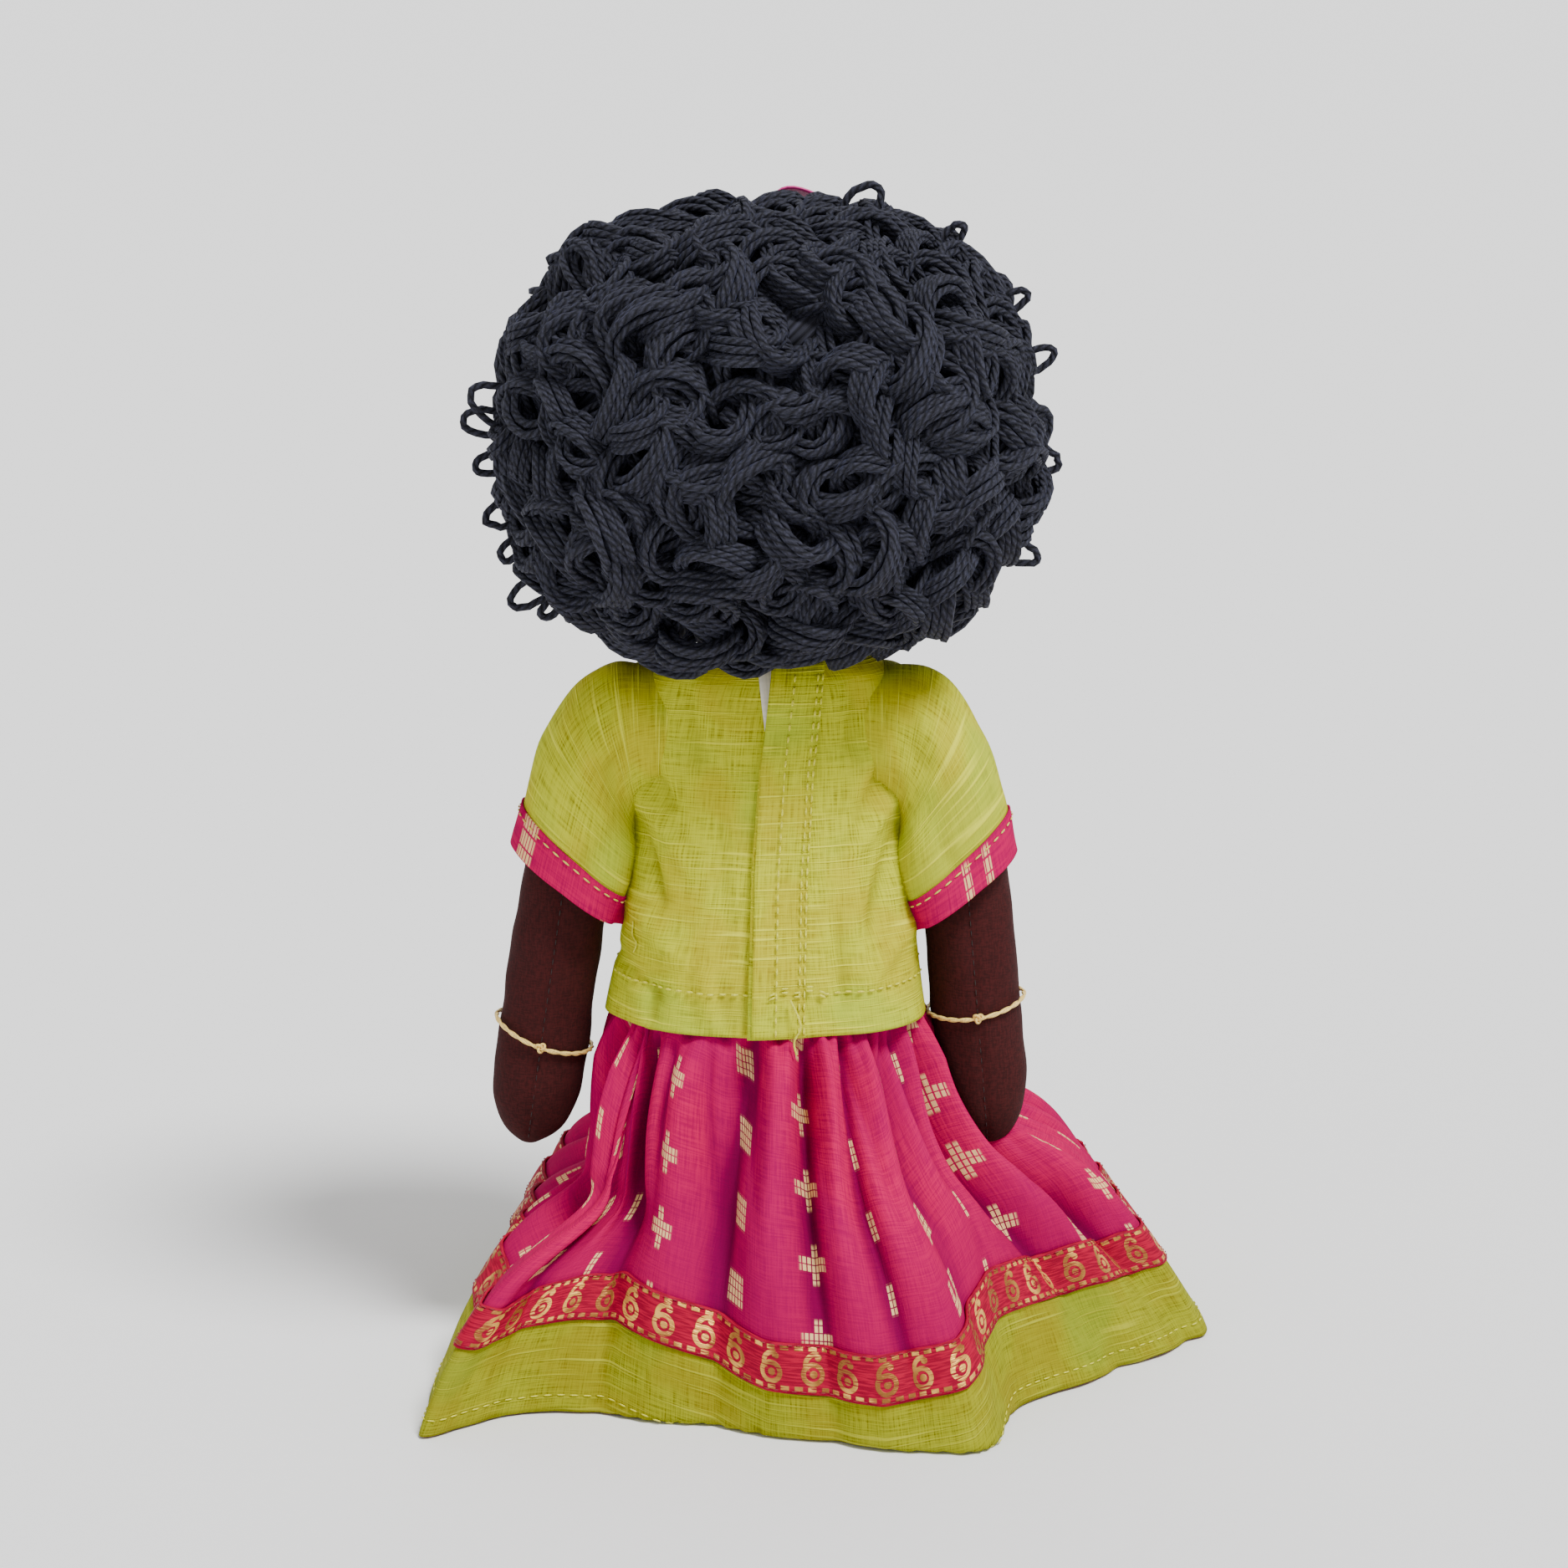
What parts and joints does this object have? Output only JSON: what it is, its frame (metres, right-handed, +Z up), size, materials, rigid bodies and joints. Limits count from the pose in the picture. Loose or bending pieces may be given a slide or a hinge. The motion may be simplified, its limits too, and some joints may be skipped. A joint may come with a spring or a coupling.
{
  "type": "seated cloth doll",
  "caption": "Soft stuffed cloth doll sitting upright, with looped yarn hair, a green blouse, a gathered magenta skirt with a paisley border tape, and thread bangles.",
  "frame": {"origin": "on the surface that the doll sits on, on the flat seat under the trunk", "axes": "+Z up, the doll faces -Y, and its own left side is +X"},
  "size_m": [0.2117, 0.1943, 0.308],
  "materials": {
    "brown_cotton": "plain woven brown cotton, matt",
    "stuffing": "polyester fibre filling, matt",
    "hair_yarn": "loops of soft navy-black plied yarn",
    "pink_ribbon": "pink satin ribbon",
    "white_thread": "embroidery thread",
    "red_thread": "embroidery thread and piping",
    "green_cloth": "open slub-woven yellow-green cotton",
    "cream_tape": "cream hook-and-loop tape",
    "magenta_cloth": "shot magenta cotton with woven gold dashes",
    "border_tape": "crimson tape with woven gold paisleys",
    "elastic": "white woven elastic",
    "bangle_thread": "pale gold metallic thread"
  },
  "bodies": {
    "torso": {"trunk_skin": "brown_cotton", "trunk_stuffing": "stuffing", "blouse_front": "green_cloth", "blouse_back_left": "green_cloth", "blouse_back_right": "green_cloth", "placket_flap": "green_cloth", "hook_strip": "cream_tape", "loop_strip": "cream_tape", "neck_binding": "red_thread", "waistband": "magenta_cloth", "waist_elastic": "elastic", "skirt_panel": "magenta_cloth", "border_tape": "border_tape", "hem_band": "green_cloth", "skirt_lining": "magenta_cloth"},
    "neck": {"neck_skin": "brown_cotton", "neck_stuffing": "stuffing"},
    "head": {"head_skin": "brown_cotton", "head_stuffing": "stuffing", "eye_left": "white_thread", "eye_right": "white_thread", "mouth": "red_thread", "forehead_dot": "red_thread", "hair_cap": "hair_yarn", "hair": "hair_yarn", "bow_loop_left": "pink_ribbon", "bow_loop_right": "pink_ribbon", "bow_knot": "pink_ribbon", "bow_tails": "pink_ribbon"},
    "arm_left": {"arm_left_skin": "brown_cotton", "arm_left_stuffing": "stuffing", "sleeve_left": "green_cloth", "cuff_left": "magenta_cloth"},
    "arm_right": {"arm_right_skin": "brown_cotton", "arm_right_stuffing": "stuffing", "sleeve_right": "green_cloth", "cuff_right": "magenta_cloth"},
    "bangle_left": {"bangle_left": "bangle_thread"},
    "bangle_right": {"bangle_right": "bangle_thread"},
    "hips": {"hip_seam": "brown_cotton"},
    "leg_left": {"leg_left_skin": "brown_cotton", "leg_left_stuffing": "stuffing"},
    "leg_right": {"leg_right_skin": "brown_cotton", "leg_right_stuffing": "stuffing"}
  },
  "joints": [
    {"name": "head_turn", "type": "hinge", "parent": "torso", "child": "neck", "pos_m": [0, 0, 0.185], "axis": [0, 0, 1], "range_deg": [-30, 30]},
    {"name": "head_nod", "type": "hinge", "parent": "neck", "child": "head", "pos_m": [0, 0, 0.193], "axis": [1, 0, 0], "range_deg": [-8, 20]},
    {"name": "shoulder_left", "type": "hinge", "parent": "torso", "child": "arm_left", "pos_m": [0.037, 0, 0.16], "axis": [-1, 0, 0], "range_deg": [-15, 100]},
    {"name": "shoulder_right", "type": "hinge", "parent": "torso", "child": "arm_right", "pos_m": [-0.037, 0, 0.16], "axis": [-1, 0, 0], "range_deg": [-15, 100]},
    {"name": "bangle_left_slide", "type": "slide", "parent": "arm_left", "child": "bangle_left", "axis": [-0.1478, 0, 0.989], "range_m": [-0.006, 0.018]},
    {"name": "bangle_right_slide", "type": "slide", "parent": "arm_right", "child": "bangle_right", "axis": [0.0872, 0, 0.9962], "range_m": [-0.006, 0.018]},
    {"name": "hip_fold", "type": "hinge", "parent": "torso", "child": "hips", "pos_m": [0, -0.02, 0.015], "axis": [1, 0, 0], "range_deg": [0, 90]},
    {"name": "leg_left_spread", "type": "hinge", "parent": "hips", "child": "leg_left", "pos_m": [0.019, -0.0375, 0.015], "axis": [0, 0, 1], "range_deg": [-10, 15]},
    {"name": "leg_right_spread", "type": "hinge", "parent": "hips", "child": "leg_right", "pos_m": [-0.019, -0.0375, 0.015], "axis": [0, 0, -1], "range_deg": [-20, 5]}
  ]
}
